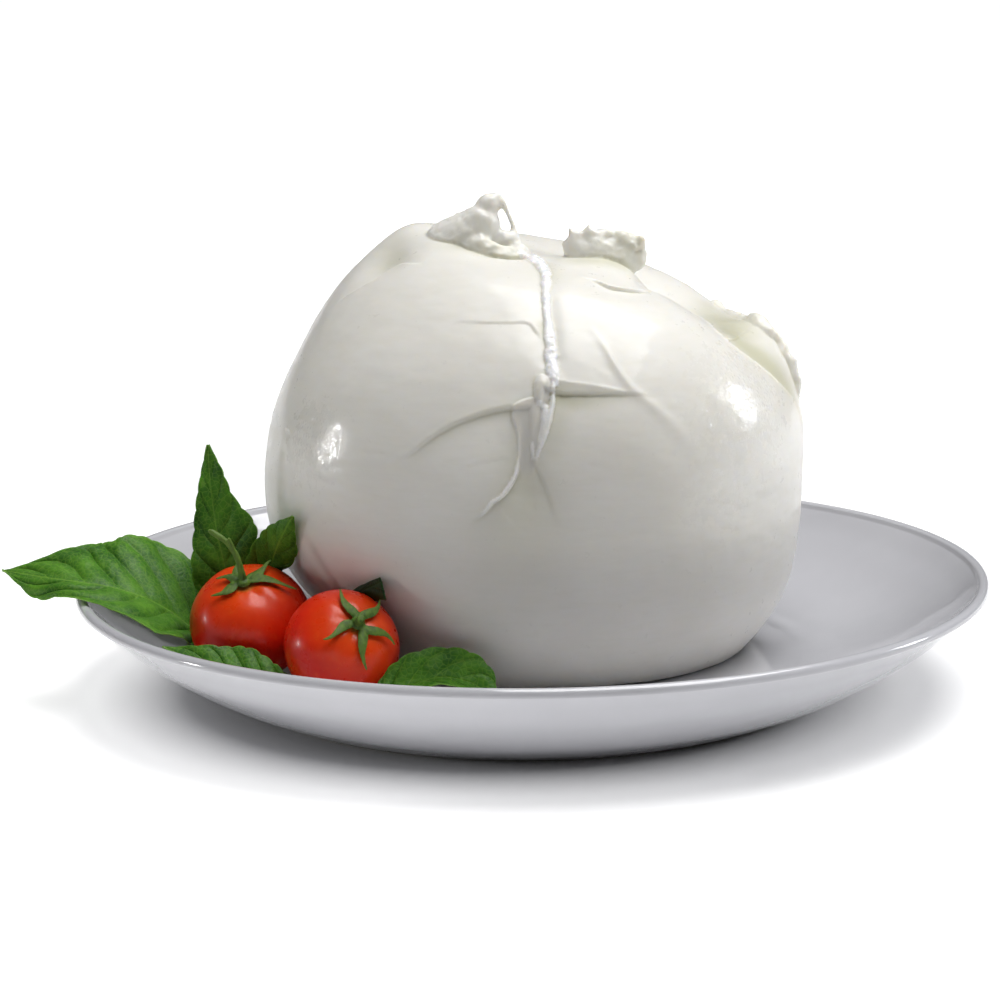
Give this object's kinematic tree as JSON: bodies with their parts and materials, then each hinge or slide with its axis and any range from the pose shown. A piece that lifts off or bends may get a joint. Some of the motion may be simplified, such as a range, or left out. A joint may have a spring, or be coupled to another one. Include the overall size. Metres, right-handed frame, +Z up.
{
  "type": "buffalo mozzarella on plate",
  "caption": "Large ball of buffalo mozzarella with a twisted crown and a front seam, on a white coupe plate with cherry tomatoes and basil leaves.",
  "frame": {"origin": "middle of the whole footprint, at the height of the plate's foot ring", "axes": "+Z up, +X to the right and -Y towards the viewer of the cheese's seam"},
  "size_m": [0.237, 0.2198, 0.1201],
  "materials": {
    "plate": "glossy white glaze",
    "cheese": "moist ivory skin",
    "tomato": "glossy red skin",
    "calyx": "fresh green stalk",
    "leaf": "satin green leaf",
    "dark_leaf": "dark green leaf"
  },
  "bodies": {
    "root": {"plate": "plate", "cheese": "cheese", "tomato_left": "tomato", "tomato_right": "tomato", "calyx_left": "calyx", "calyx_right": "calyx", "leaf_rim": "leaf", "leaf_tall": "leaf", "leaf_folded": "leaf", "leaf_dark": "dark_leaf", "leaf_front": "leaf", "leaf_right": "leaf"}
  },
  "joints": []
}
